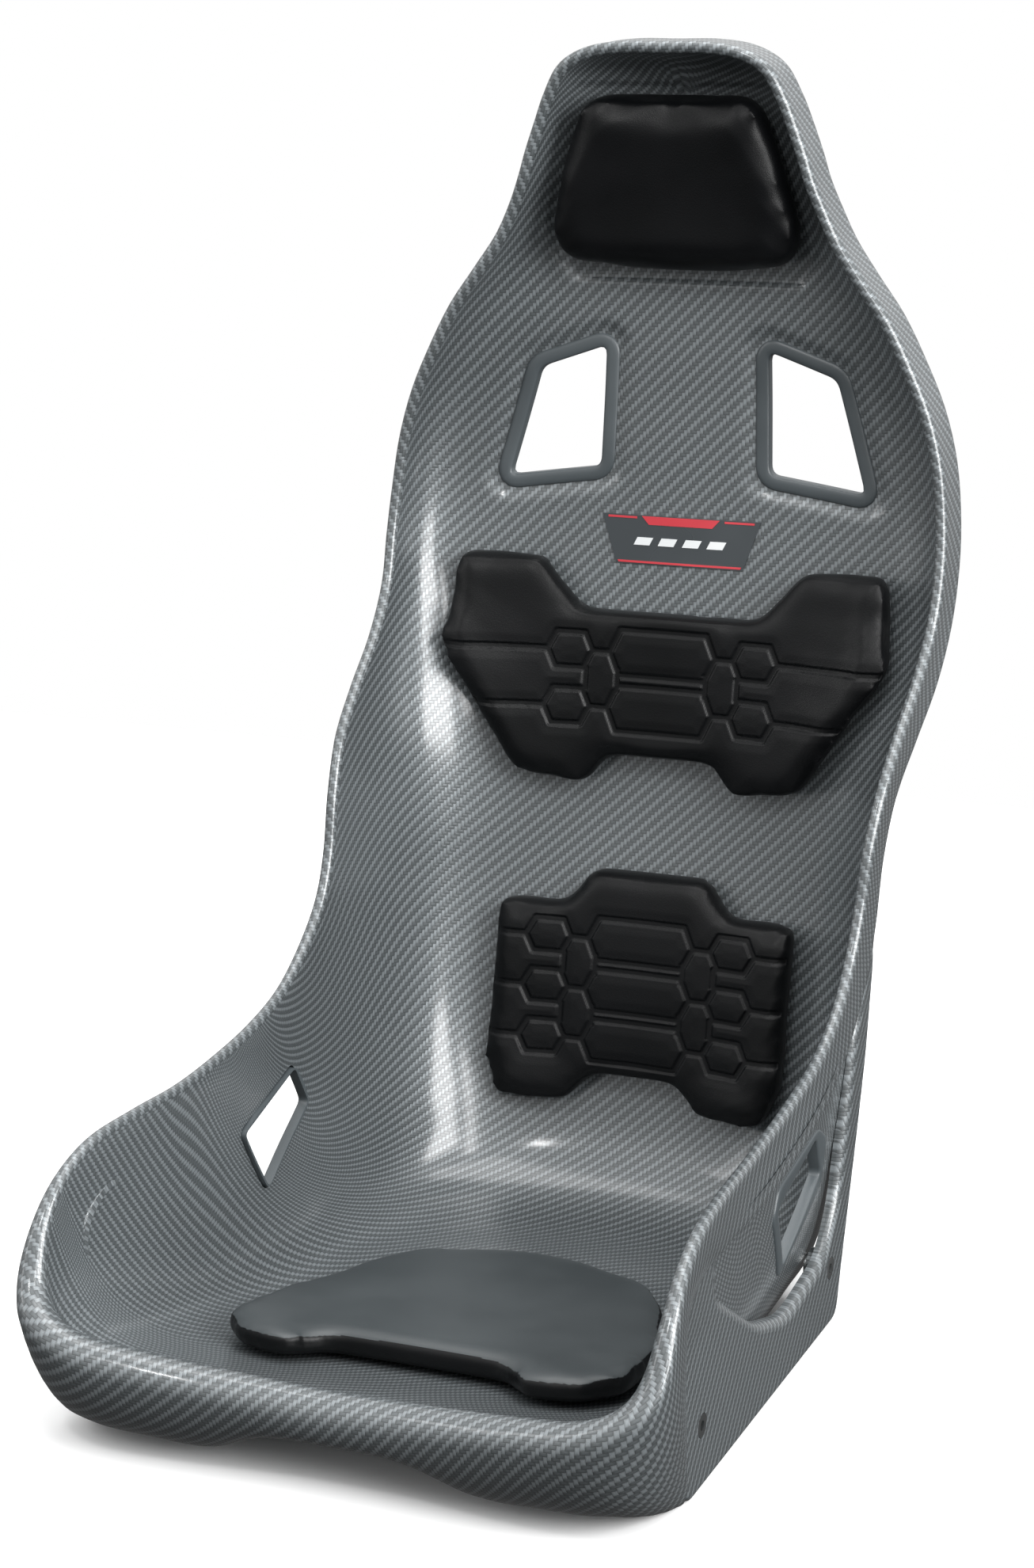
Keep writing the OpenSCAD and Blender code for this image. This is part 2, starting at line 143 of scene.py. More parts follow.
def through(rows, s):
    """Smooth curve through the extended rows at the places s."""
    i = np.floor(s).astype(int)
    i = np.minimum(i, len(rows) - 6)
    t = (s - i)[:, None]
    a, b, c, d = (rows[i + 2 + n] for n in range(4))
    return (2 * b + (c - a) * t + (2 * a - 5 * b + 4 * c - d) * t ** 2
            + (3 * b - a - 3 * c + d) * t ** 3) / 2


ROWS = extended(STATIONS)


def crest(s):
    return through(ROWS, s)[:, :3]


def spine(s):
    q = through(ROWS, np.clip(s, FAN_TOP, FAN_FRONT))
    return np.stack([0 * s, q[:, 3], q[:, 4]], 1)


def wall_dir(s):
    lean = np.radians(through(ROWS, s)[:, 5])
    return np.stack([0 * s, -np.sin(lean), np.cos(lean)], 1)


def spine_dir(s):
    c = np.clip(s, FAN_TOP + 0.5, FAN_FRONT - 0.5)
    return unit(spine(c + 0.5) - spine(c - 0.5))


def spine_out(s):
    d = spine_dir(s)
    return np.stack([0 * s, -d[:, 2], d[:, 1]], 1)


def rim_out(s):
    o = unit(np.cross(crest(s + 0.5) - crest(s - 0.5), wall_dir(s)))
    away = np.sum(o * (crest(s) - spine(s)), 1) > 0
    return np.where(away[:, None], o, -o)


def edge_rows():
    """Lower edge of the flange at each row, flush with the pedestal sides beside them."""
    s = np.arange(FOOT_ROW, dtype=float)
    e = crest(s) + (2 * through(ROWS, s)[:, 8:9] + DRAFT) * rim_out(s) - FLANGE * wall_dir(s)
    flush = smooth_step(s, SIDE_ROWS[0] - 3, SIDE_ROWS[0])
    e[:, 0] += flush * (SIDE_X + 0.5 - e[:, 0])
    return extended([list(p) for p in e] + FOOT_EDGE)


EDGES = edge_rows()


def spine_pull(s, w):
    v = crest(s) - spine(s)
    n = spine_out(s)
    fan = v - np.sum(v * n, 1, keepdims=True) * n
    across = np.stack([w, 0 * w, 0 * w], 1)
    share = np.maximum(1 - smooth_step(s, FAN_TOP, FAN_TOP + 1),
                       smooth_step(s, FAN_FRONT - 1, FAN_FRONT))[:, None]
    return share * fan + (1 - share) * across


def sections(s, sunk):
    """Points of the shell's sections: from the spine over the wall, the roll, the flange and the lip."""
    q = through(ROWS, s)
    centre, rim, out, wall = spine(s), crest(s), rim_out(s), wall_dir(s)
    c = centre + sunk * spine_out(s)
    r = rim + sunk * out
    depth = np.linalg.norm(rim - centre, axis=1, keepdims=True)
    c1 = c + q[:, 6:7] * spine_pull(s, q[:, 0])
    r1 = r - q[:, 7:8] * depth * wall
    lines = []
    for u in np.linspace(0, 1, WALL_STEPS + 1):
        v = 1 - u
        lines.append(v ** 3 * c + 3 * v * v * u * c1 + 3 * v * u * u * r1 + u ** 3 * r)
    radius = q[:, 8:9]
    for a in np.radians(180 * np.arange(1, ROLL_STEPS + 1) / ROLL_STEPS):
        lines.append(rim + radius * out + (radius - sunk) * (math.sin(a) * wall - math.cos(a) * out))
    start = lines[-1]
    end = through(EDGES, s) - sunk * out
    bend = start - 0.5 * np.linalg.norm(end - start, axis=1, keepdims=True) * wall
    down = unit(end - bend)
    inset = end - LIP * down
    for u in np.arange(1, APRON_STEPS + 1) / APRON_STEPS:
        lines.append((1 - u) ** 2 * start + 2 * u * (1 - u) * bend + u * u * inset)
    turn = LIP - sunk
    for a in np.radians(90 * np.arange(1, LIP_STEPS + 1) / LIP_STEPS):
        lines.append(inset + turn * (math.sin(a) * down - (1 - math.cos(a)) * out))
    points = np.stack(lines, 1)
    points[:, :, 2] = np.maximum(points[:, :, 2], 0)
    return points


def cloth_places(s, points):
    """Where each point of the sections lies on the flat carbon cloth, in mm: on the wall and on the rim."""
    along = spine_dir(s)
    pull = spine_pull(s, through(ROWS, s)[:, 0])
    ahead = np.sum(pull * along, 1)
    heading = np.arctan2(ahead, np.linalg.norm(pull - ahead[:, None] * along, axis=1))
    centre = spine(s)
    run = np.concatenate([[0], np.cumsum(np.linalg.norm(np.diff(centre, axis=0), axis=1))])
    step = np.diff(points[:, :WALL_STEPS + 1], axis=1)
    a = np.sum(step * along[:, None], 2)
    b = np.sqrt(np.maximum(np.sum(step * step, 2) - a * a, 0))
    across = np.cumsum(b * np.cos(heading)[:, None], 1)
    drop = np.cumsum(a + b * np.sin(heading)[:, None], 1)
    zero = np.zeros((len(s), 1))
    wall = np.stack([np.hstack([zero, across]), -run[:, None] - np.hstack([zero, drop])], 2)
    rim = crest(s)
    length = np.concatenate([[0], np.cumsum(np.linalg.norm(np.diff(rim, axis=0), axis=1))])
    # The two halves of the cloth meet in the middle of the nose. Each is a whole number of half repeats
    # long, two tows each, so the twill runs on across the join
    repeat = 2 * TOW
    length *= round(length[-1] / repeat) * repeat / length[-1]
    fold = np.diff(points[:, WALL_STEPS:], axis=1)
    deep = np.hstack([zero, np.cumsum(np.linalg.norm(fold, axis=2), 1)])
    return wall, np.stack([np.repeat(length[:, None], deep.shape[1], 1), deep], 2)


def segment_distance(p, a, b):
    """Least distance from each 2D point to the segments from a to b."""
    best = np.full(len(p), 1e9)
    for start, end in zip(a, b):
        d = end - start
        t = np.clip(((p - start) @ d) / max(d @ d, 1e-9), 0, 1)
        best = np.minimum(best, np.linalg.norm(p - start - t[:, None] * d, axis=1))
    return best


def outline_distance(p, outline):
    """Distance outside (+) or inside (-) a closed outline."""
    a = np.asarray(outline, float)
    b = np.roll(a, -1, 0)
    inside = np.zeros(len(p), bool)
    for (x0, y0), (x1, y1) in zip(a, b):
        crosses = (y0 > p[:, 1]) != (y1 > p[:, 1])
        with np.errstate(divide="ignore", invalid="ignore"):
            x = x0 + (p[:, 1] - y0) * (x1 - x0) / (y1 - y0)
        inside ^= crosses & (p[:, 0] < x)
    return np.where(inside, -1, 1) * segment_distance(p, a, b)


def rounded(points, r, n=6):
    """An outline with each corner rounded over the length r."""
    p = np.asarray(points, float)
    made = []
    for i in range(len(p)):
        a, b, c = p[i - 1], p[i], p[(i + 1) % len(p)]
        d = min(r, 0.45 * np.linalg.norm(a - b), 0.45 * np.linalg.norm(c - b))
        start, end = b + d * unit(a - b), b + d * unit(c - b)
        for t in np.linspace(0, 1, n + 1):
            made.append((1 - t) ** 2 * start + 2 * t * (1 - t) * b + t * t * end)
    return np.array(made)


def ways_out(outline):
    """Directions out of a closed outline at its points."""
    a, b = unit(outline - np.roll(outline, 1, 0)), unit(np.roll(outline, -1, 0) - outline)
    n = unit(np.stack([a[:, 1] + b[:, 1], -a[:, 0] - b[:, 0]], 1))
    nxt = np.roll(outline, -1, 0)
    area = np.sum(outline[:, 0] * nxt[:, 1] - nxt[:, 0] * outline[:, 1])
    return n if area > 0 else -n


def grown(outline, d):
    """An outline moved outward by d."""
    return outline + d * ways_out(outline)


def ramp_down(d, start, end):
    return 1 - smooth_step(d, start, end)


def recessed(points):
    """The wall with the dishes round the harness slots and the shallow seat of the head pad pressed in."""
    flat = points.reshape(-1, 3)
    depth = np.zeros(len(flat))
    high = flat[:, 2] > 500
    place = np.stack([np.abs(flat[high, 0]), flat[high, 2]], 1)
    dish = DISH_DEPTH * ramp_down(outline_distance(place, HARNESS_SLOT), DISH_FLOOR, DISH_EDGE)
    seat = HEAD_SEAT_DEPTH * ramp_down(outline_distance(place, HEAD_RECESS), -3, 1.5)
    depth[high] = np.maximum(dish, seat)
    moved = flat.copy()
    moved[:, 1] += depth
    return moved.reshape(points.shape)


# Depth of the dish round a harness slot, how far its floor reaches from the slot, and its outer edge
DISH_DEPTH, DISH_FLOOR, DISH_EDGE = 3.4, 12.0, 20.0
HEAD_SEAT_DEPTH = 2.5
# Width of one tow of the cloth. A 2x2 twill repeats every four tows, about 10.4 mm
TOW = 2.6


# ---------------------------------------------------------------- materials
def colour(code):
    """An sRGB hex colour as linear RGBA."""
    parts = [int(code[i:i + 2], 16) / 255 for i in (1, 3, 5)]
    return (*[p / 12.92 if p <= 0.04045 else ((p + 0.055) / 1.055) ** 2.4 for p in parts], 1)


def add(tree, kind, *inputs, named=None, **settings):
    """Adds a node. The inputs fill its sockets in order, or by name, with values or from other nodes."""
    made = tree.nodes.new("ShaderNode" + kind)
    for name, value in settings.items():
        setattr(made, name, value)
    pairs = [*zip(made.inputs, inputs), *[(made.inputs[k], v) for k, v in (named or {}).items()]]
    for socket, value in pairs:
        if isinstance(value, bpy.types.Node):
            value = value.outputs[0]
        if isinstance(value, bpy.types.NodeSocket):
            tree.links.new(value, socket)
        elif value is not None:
            socket.default_value = value
    return made


def material(name):
    made = bpy.data.materials.new(name)
    made.use_nodes = True
    made.node_tree.nodes.clear()
    return made, made.node_tree


def surface(tree, **sockets):
    """Ends a material in one Principled shader with its sockets set by name."""
    named = {key.replace("_", " "): value for key, value in sockets.items()}
    shader = add(tree, "BsdfPrincipled", named=named)
    add(tree, "OutputMaterial", shader)


def carbon_twill():
    """Carbon twill in epoxy under a clear lacquer: diagonal ribs of grey tows below a wet gloss."""
    made, tree = material("carbon_twill")
    place = add(tree, "UVMap", uv_map="cloth")
    tows = add(tree, "VectorMath", place, None, None, 1 / (TOW * MM), operation="SCALE")
    split = add(tree, "SeparateXYZ", tows)
    x, y = split.outputs[0], split.outputs[1]
    column = add(tree, "Math", x, operation="FLOOR")
    line = add(tree, "Math", y, operation="FLOOR")
    fx = add(tree, "Math", x, column, operation="SUBTRACT")
    fy = add(tree, "Math", y, line, operation="SUBTRACT")
    diagonal = add(tree, "Math", column, line, operation="SUBTRACT")
    k = add(tree, "Math", diagonal, 4, operation="FLOORED_MODULO")
    warp = add(tree, "Math", k, 1.5, operation="LESS_THAN")
    # Across and along the tow that lies on top in this cell
    turn = add(tree, "Math", fx, fy, operation="SUBTRACT")
    c = add(tree, "Math", turn, warp, fy, operation="MULTIPLY_ADD")
    down = add(tree, "Math", fy, k, operation="SUBTRACT")
    warp_along = add(tree, "Math", down, 0.5, 0.5, operation="MULTIPLY_ADD")
    up = add(tree, "Math", fx, k, operation="ADD")
    weft_along = add(tree, "Math", up, 0.5, -1, operation="MULTIPLY_ADD")
    change = add(tree, "Math", warp_along, weft_along, operation="SUBTRACT")
    along = add(tree, "Math", change, warp, weft_along, operation="MULTIPLY_ADD")
    # Rounded section of a tow, and its dive at both ends of a float
    off = add(tree, "Math", c, 2, -1, operation="MULTIPLY_ADD")
    off = add(tree, "Math", off, operation="ABSOLUTE")
    off = add(tree, "Math", off, 3, operation="POWER")
    dive = add(tree, "Math", along, 2, -1, operation="MULTIPLY_ADD")
    dive = add(tree, "Math", dive, operation="ABSOLUTE")
    dive = add(tree, "Math", dive, 2.4, operation="POWER")
    low = add(tree, "Math", off, dive, operation="MAXIMUM")
    height = add(tree, "Math", 1, low, operation="SUBTRACT")
    # Filaments run along each tow; real ones are 7 microns, drawn here about 0.25 mm apart
    fine_x = add(tree, "Math", c, 10, operation="MULTIPLY")
    fine_y = add(tree, "Math", along, 0.7, operation="MULTIPLY")
    seed = add(tree, "Math", column, line, operation="ADD")
    grain_at = add(tree, "CombineXYZ", fine_x, fine_y, seed)
    grain = add(tree, "TexNoise", grain_at, named={"Scale": 1.0, "Detail": 2.0})
    # Painted shade: each tow's colour falls to half where it dives under its neighbours and is full on its
    # crown
    shade = add(tree, "MapRange", height, 0, 1, 0.5, 1)
    # Painted sheen: warp tows are drawn lighter and weft tows darker, though both are the same carbon fibre
    tone = add(tree, "MixRGB", warp, colour(WEFT_SHADE_GREY), colour(WARP_SHEEN_GREY))
    flecks = add(tree, "MapRange", grain.outputs[0], 0.3, 0.7, 0.86, 1.12)
    light = add(tree, "Math", shade, flecks, operation="MULTIPLY")
    # Slow change of resin tone over the panel
    drift_at = add(tree, "TexCoord").outputs["Object"]
    drift = add(tree, "TexNoise", drift_at, named={"Scale": 6.0, "Detail": 1.0})
    drift = add(tree, "MapRange", drift.outputs[0], 0.3, 0.7, 0.93, 1.07)
    light = add(tree, "Math", light, drift, operation="MULTIPLY")
    base = add(tree, "VectorMath", tone, None, None, light, operation="SCALE")
    bump = add(tree, "Bump", named={"Strength": 0.55, "Distance": 0.25 * MM, "Height": height})
    peel = add(tree, "TexNoise", drift_at, named={"Scale": 140.0, "Detail": 1.0})
    skin = add(tree, "Bump", named={"Strength": 0.08, "Distance": 0.3 * MM, "Height": peel})
    rough = add(tree, "MapRange", height, 0, 1, 0.55, 0.36)
    surface(tree, Base_Color=base, Metallic=0.25, Roughness=rough, IOR=1.5, Normal=bump,
            Coat_Weight=0.9, Coat_Roughness=0.17, Coat_IOR=1.5, Coat_Normal=skin)
    return made


def grained(name, dark, light, roughness, grain_mm, depth_mm, **extra):
    """A surface whose colour, roughness and relief follow a fine grain of the given size."""
    made, tree = material(name)
    place = add(tree, "TexCoord").outputs["Object"]
    size = 1 / (grain_mm * MM)
    cells = add(tree, "TexVoronoi", place, named={"Scale": size, "Randomness": 1.0})
    cloud = add(tree, "TexNoise", place, named={"Scale": 9.0, "Detail": 3.0})
    fine = add(tree, "TexNoise", place, named={"Scale": size * 2.2, "Detail": 2.0})
    relief = add(tree, "Math", cells.outputs[0], 0.6, fine.outputs[0], operation="MULTIPLY_ADD")
    bump = add(tree, "Bump", named={"Strength": 0.6, "Distance": depth_mm * MM, "Height": relief})
    blend = add(tree, "MapRange", cloud.outputs[0], 0.35, 0.65, 0, 1)
    base = add(tree, "MixRGB", blend, colour(dark), colour(light))
    rough = add(tree, "MapRange", cloud.outputs[0], 0.3, 0.7, roughness - 0.05, roughness + 0.06)
    surface(tree, Base_Color=base, Roughness=rough, Normal=bump, **extra)
    return made


# Painted sheen: one carbon fibre as a lighter grey for the warp tows and a darker grey for the weft tows
WARP_SHEEN_GREY, WEFT_SHADE_GREY = "#7b8184", "#54595b"
CARBON = carbon_twill()
# Black split leather, pebbled by embossing: a soft broad sheen with fine sparkle in the grain
LEATHER = grained("pad_leather", "#040506", "#08090b", 0.38, 1.3, 0.12, IOR=1.5,
                  Specular_IOR_Level=0.22)
# Upward faces of the cushion get a greyer, closer grained copy of the black leather with a satin finish;
# the grey is painted sheen of the light falling on its top
CUSHION_PAINTED_SHEEN = grained("cushion_top_painted_sheen", "#34393b", "#3f4446", 0.4, 0.9, 0.06, IOR=1.5,
                       Specular_IOR_Level=0.5)
# Glass-filled nylon, moulded with a fine spark texture: dark and even with a dull edge light
FRAME_NYLON = grained("frame_nylon", "#3f4548", "#4a5053", 0.36, 0.6, 0.03, IOR=1.53)
# Zinc-plated steel, turned: bright with a faint haze
INSERT_STEEL = grained("insert_steel", "#a9adae", "#c3c6c6", 0.3, 0.4, 0.02, Metallic=1.0)
# Woven nylon hook tape: dull black with a bristly nap
HOOK_TAPE = grained("hook_tape", "#0d0e0f", "#17191a", 0.9, 0.7, 0.3, IOR=1.5, Sheen_Weight=0.4,
                    Sheen_Roughness=0.5)
BADGE_FACE = grained("badge_film", "#34393c", "#3c4144", 0.3, 0.5, 0.02, IOR=1.5, Coat_Weight=0.4)
BADGE_RED = grained("badge_red", "#b8323c", "#c64049", 0.35, 0.5, 0.02, IOR=1.5, Coat_Weight=0.4)
BADGE_WHITE = grained("badge_white", "#d5d8d9", "#e2e4e4", 0.35, 0.5, 0.02, IOR=1.5)
FLOOR_PAPER = grained("floor_paper", "#fbfbfb", "#fdfdfd", 0.9, 2.0, 0.01, IOR=1.4)


# ---------------------------------------------------------------- mesh tools
def new_piece(name, points, faces, finish, cloth=None):
    """A smooth piece from points in mm; cloth gives each face corner's place on the cloth in mm."""
    mesh = bpy.data.meshes.new(name)
    mesh.from_pydata((np.asarray(points) * MM).tolist(), [], faces)
    if cloth is not None:
        layer = mesh.uv_layers.new(name="cloth")
        layer.data.foreach_set("uv", (np.asarray(cloth) * MM).ravel())
    piece = bpy.data.objects.new(name, mesh)
    SCENE.collection.objects.link(piece)
    mesh.materials.append(finish)
    tidy_normals(mesh)
    return piece


def tidy_normals(mesh):
    work = bmesh.new()
    work.from_mesh(mesh)
    bmesh.ops.recalc_face_normals(work, faces=work.faces)
    work.to_mesh(mesh)
    work.free()
    mesh.shade_smooth()


def baked(piece):
    """Applies the piece's modifiers to its mesh."""
    graph = bpy.context.evaluated_depsgraph_get()
    made = bpy.data.meshes.new_from_object(piece.evaluated_get(graph))
    piece.modifiers.clear()
    old, piece.data = piece.data, made
    bpy.data.meshes.remove(old)
    return piece


def read_points(mesh):
    p = np.empty(len(mesh.vertices) * 3)
    mesh.vertices.foreach_get("co", p)
    return p.reshape(-1, 3) / MM


def write_points(mesh, p):
    mesh.vertices.foreach_set("co", (np.asarray(p) * MM).ravel())
    mesh.update()


def prism(outline, axis, low, high):
    """A cutter: an outline in the plane across the axis, drawn out from low to high."""
    n = len(outline)
    points = []
    for level in (low, high):
        for a, b in outline:
            points.append((a, level, b) if axis == "y" else (level, a, b))
    faces = [list(range(n)), list(range(2 * n - 1, n - 1, -1))]
    faces += [[i, (i + 1) % n, n + (i + 1) % n, n + i] for i in range(n)]
    return new_piece("cutter", points, faces, FRAME_NYLON)


def cut(piece, cutter):
    step = piece.modifiers.new("cut", "BOOLEAN")
    step.operation = "DIFFERENCE"
    step.solver = "MANIFOLD"
    step.object = cutter
    baked(piece)
    bpy.data.objects.remove(cutter)


# ---------------------------------------------------------------- shell
S = np.arange(LAST * ROW_STEPS + 1) / ROW_STEPS
INNER = sections(S, 0)
OUTER = sections(S, SKIN)
SHIFT_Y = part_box("seat_shell")[0].y / MM - INNER[:, :, 1].min()
INNER[:, :, 1] += SHIFT_Y
OUTER[:, :, 1] += SHIFT_Y
PLAIN_FACE = INNER[:, :WALL_STEPS + 1].copy()


def quads(rows, columns):
    return [[i * columns + j, i * columns + j + 1, (i + 1) * columns + j + 1, (i + 1) * columns + j]
            for i in range(rows - 1) for j in range(columns - 1)]


def surface_tree(points):
    """A search tree of a grid of points and its mirror image, in mm."""
    rows, columns = points.shape[:2]
    flat = points.reshape(-1, 3)
    both = np.vstack([flat, flat * [-1, 1, 1]])
    faces = quads(rows, columns)
    faces += [[i + len(flat) for i in f] for f in faces]
    return BVHTree.FromPolygons([Vector(p) for p in both], faces)


def seat_shell():
    wall, rim = cloth_places(S, INNER)
    inner, outer = INNER.copy(), OUTER.copy()
    for skin in (inner, outer):
        skin[:, :WALL_STEPS + 1] = recessed(skin[:, :WALL_STEPS + 1])
    half = len(S) - 1
    ring = 2 * half
    deep = inner.shape[1] - 1
    order = np.array([m if m <= half else ring - m for m in range(ring)])
    sign = np.array([[1, 1, 1] if m <= half else [-1, 1, 1] for m in range(ring)])[:, None]
    spine_a, spine_b = FAN_TOP * ROW_STEPS, FAN_FRONT * ROW_STEPS
    middle = [skin[spine_a:spine_b + 1, 0] for skin in (inner, outer)]
    points = np.vstack([(skin[order, 1:] * sign).reshape(-1, 3) for skin in (inner, outer)] + middle)

    def at(k, j, side):
        m = k % ring
        if j == 0:
            at_spine = min(max(order[m], spine_a), spine_b) - spine_a
            return 2 * ring * deep + side * (spine_b - spine_a + 1) + at_spine
        return side * ring * deep + m * deep + j - 1

    def place(k, j, left, on_rim):
        h = ring - k if left else k
        u, v = rim[h, j - WALL_STEPS] if on_rim else wall[h, j]
        return (-u if left else u, v)

    faces, cloth = [], []

    def put(corners, left, on_rim):
        used = []
        for k, j, side in corners:
            i = int(at(k, j, side))
            if i not in [c[0] for c in used]:
                used.append((i, place(k, j, left, on_rim)))
        faces.append([c[0] for c in used])
        cloth.extend(c[1] for c in used)

    for k in range(ring):
        left = k >= half
        for side in (0, 1):
            for j in range(deep):
                corners = [(k, j, side), (k, j + 1, side), (k + 1, j + 1, side), (k + 1, j, side)]
                put(corners if side == 0 else corners[::-1], left, j >= WALL_STEPS)
        put([(k, deep, 0), (k, deep, 1), (k + 1, deep, 1), (k + 1, deep, 0)], left, True)
    piece = new_piece("carbon_shell", points, faces, CARBON, cloth)
    for slot in (HARNESS_SLOT, np.array(HARNESS_SLOT) * [-1, 1]):
        cut(piece, prism(grown(rounded(slot, 7), SLEEVE), "y", 200, 500))
    for low, high in ((150, 260), (-260, -150)):
        slot = grown(rounded(np.array(LAP_SLOT) + [SHIFT_Y, 0], 5), SLEEVE)
        cut(piece, prism(slot, "x", low, high))
    piece.data.shade_smooth()
    piece.data.set_sharp_from_angle(angle=math.radians(50))
    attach(piece, "seat")
    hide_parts("seat_shell")
    return piece


# Thickness of the sleeves that line the slots
SLEEVE = 3.0
seat_shell()


# ---------------------------------------------------------------- pedestal sides
DISHED = surface_tree(recessed(PLAIN_FACE))
PLAIN = surface_tree(PLAIN_FACE)
OUTSIDE = surface_tree(OUTER[:, :WALL_STEPS + 1])
FORWARD, UPWARD = (0, -1, 0), (0, 0, 1)
SIDE_EDGE_R = 4.0
WINDOW_R = 7.0
FOOT_W = 24.0
FOOT_NOSE, FOOT_HEEL = -240.0, 64.0
INSERT_R, BOSS_R, BOSS_LEN = 8.3, 13.0, 15.0
SIDE_STEPS = 6


def circle(y, z, r, n=40):
    t = np.radians(360 * np.arange(n) / n)
    return np.stack([y + r * np.cos(t), z + r * np.sin(t)], 1)


def insert_places():
    """Middle of each side insert in y and z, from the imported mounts."""
    found = set()
    for mount in frame["record"]["mounts"]:
        if mount["name"].startswith("side_mount_left"):
            place = mount["pos_m"]
            found.add((place[1] / MM, place[2] / MM))
    return sorted(found)


def pedestal_side(mirror, name, node):
    """One side of the pedestal: a flat wall with a rolled-in window, a rounded border and a foot flange."""
    s = np.arange(SIDE_ROWS[0] + 1, SIDE_ROWS[1] + 1, dtype=float)[::-1]
    top = (crest(s) - (FLANGE - 14) * wall_dir(s))[:, 1:]
    outline = np.vstack([[[71, 0], [-256, 0], [-263, 36], [-268, 84], [-268, 120]], top,
                         [[146, 250], [132, 180], [116, 130], [98, 80], [80, 30]]])
    # The window's upper edge runs behind the flange of the laminate
    under = np.linspace(23, 29.4, 14)
    hidden = (crest(under) - (FLANGE - 7) * wall_dir(under))[:, 1:]
    window = np.vstack([[[-205, 122], [-112, 66], [-46, 46], [40, 56], [70, 88], [90, 150], [106, 205]],
                        hidden])
    outline = rounded(outline + [SHIFT_Y, 0], 12, 5)
    window = rounded(window + [SHIFT_Y, 0], 22, 8)
    rim = grown(outline, -SIDE_EDGE_R)
    inner = grown(window, WINDOW_R)
    holes = [circle(y, z, INSERT_R) for y, z in insert_places()]
    loops = [rim, inner] + holes
    flat = [Vector((SIDE_X, p[0], p[1])) for loop in loops for p in loop]
    tris = tessellate_polygon([[Vector((0, p[0], p[1])) for p in loop] for loop in loops])
    points = [tuple(p) for p in flat]
    faces = [list(t) for t in tris]

    def rolled(loop, ways, profile):
        """Rows of points along a loop, each row moved out and in by the profile, joined by faces."""
        n, rows = len(loop), []
        for shift, drop in profile:
            rows.append(range(len(points), len(points) + n))
            points.extend((SIDE_X - drop, p[0] + shift * w[0], p[1] + shift * w[1])
                          for p, w in zip(loop, ways))
        for low, high in zip(rows, rows[1:]):
            for i in range(n):
                j = (i + 1) % n
                faces.append([low[i], low[j], high[j], high[i]])

    quarter = np.radians(90 * np.arange(SIDE_STEPS + 1) / SIDE_STEPS)
    bend = [(math.sin(t), 1 - math.cos(t)) for t in quarter]
    rolled(rim, ways_out(rim), [(SIDE_EDGE_R * a, SIDE_EDGE_R * b) for a, b in bend]
           + [(SIDE_EDGE_R, 9.0)])
    rolled(inner, -ways_out(inner), [(WINDOW_R * a, WINDOW_R * b) for a, b in bend]
           + [(WINDOW_R, 9.5)])
    for hole in holes:
        ways = ways_out(hole)
        step = BOSS_R - INSERT_R
        rolled(hole, ways, [(0, 0), (0, BOSS_LEN), (step, BOSS_LEN), (step, 3.5)])
    # Foot flange along the ground, between the nose and the heel
    foot = [(SIDE_X - SIDE_EDGE_R, 0), (SIDE_X - FOOT_W, 0), (SIDE_X - FOOT_W, 4), (SIDE_X - 6, 4)]
    base = len(points)
    ends = (FOOT_NOSE + SHIFT_Y, FOOT_HEEL + SHIFT_Y)
    points.extend((x, y, z) for y in ends for x, z in foot)
    faces.extend([[base + i, base + (i + 1) % 4, base + 4 + (i + 1) % 4, base + 4 + i]
                  for i in range(4)] + [[base + 3, base + 2, base + 1, base],
                                        [base + 4, base + 5, base + 6, base + 7]])
    points = np.array(points)
    for p in points:
        # Turned-in edges stop against the outside of the bucket
        hit = OUTSIDE.ray_cast(Vector((260, p[1], p[2])), Vector((-1, 0, 0)), 300)[0]
        if hit is not None:
            p[0] = max(p[0], hit.x + 0.4)
    points[:, 0] *= mirror
    cloth = np.array([(points[c][1] * mirror, points[c][2]) for f in faces for c in f])
    piece = new_piece(name, points, faces, CARBON, cloth)
    piece.data.set_sharp_from_angle(angle=math.radians(40))
    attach(piece, "seat")
    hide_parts(node)


for mirror, hand in ((1, "left"), (-1, "right")):
    pedestal_side(mirror, "pedestal_side_panel_" + hand, "pedestal_side_" + hand)


# ---------------------------------------------------------------- slot frames and badge


def on_surface(tree, place, along):
    """Where the line along a direction through a place meets a surface."""
    start = Vector(place) + Vector(along) * 150
    hit = tree.ray_cast(start, -Vector(along), 400)[0]
    return hit if hit is not None else Vector(place)


def slot_frame(name, node, tree, along, lay, inner, outer, profile, count=160):
    """A moulded frame round a slot. Each profile row: share of the way to the outer outline, lift."""
    middle = inner.mean(0)

    def ring(outline):
        """The outline's points in even directions from the middle."""
        found = []
        for t in np.radians(360 * np.arange(count) / count):
            way = np.array([math.cos(t), math.sin(t)])
            best = 0
            for a, b in zip(outline, np.roll(outline, -1, 0)):
                e = b - a
                cross = way[0] * e[1] - way[1] * e[0]
                if abs(cross) < 1e-9:
                    continue
                r = ((a - middle)[0] * e[1] - (a - middle)[1] * e[0]) / cross
                u = ((a - middle)[0] * way[1] - (a - middle)[1] * way[0]) / cross
                if r > 0 and -1e-6 <= u <= 1 + 1e-6:
                    best = max(best, r)
            found.append(middle + best * way)
        return np.array(found)

    low, high = ring(inner), ring(outer)
    points, faces = [], []
    for share, lift in profile:
        for p in low + share * (high - low):
            points.append(on_surface(tree, lay(p), along) + lift * Vector(along))
    rows = len(profile)
    for r in range(rows):
        for i in range(count):
            j = (i + 1) % count
            q = (r + 1) % rows
            faces.append([r * count + i, r * count + j, q * count + j, q * count + i])
    piece = new_piece(name, np.array([tuple(p) for p in points]), faces, FRAME_NYLON)
    piece.data.set_sharp_from_angle(angle=math.radians(60))
    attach(piece, "seat")
    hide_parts(node)
    return piece


BEZEL_W = 11.0
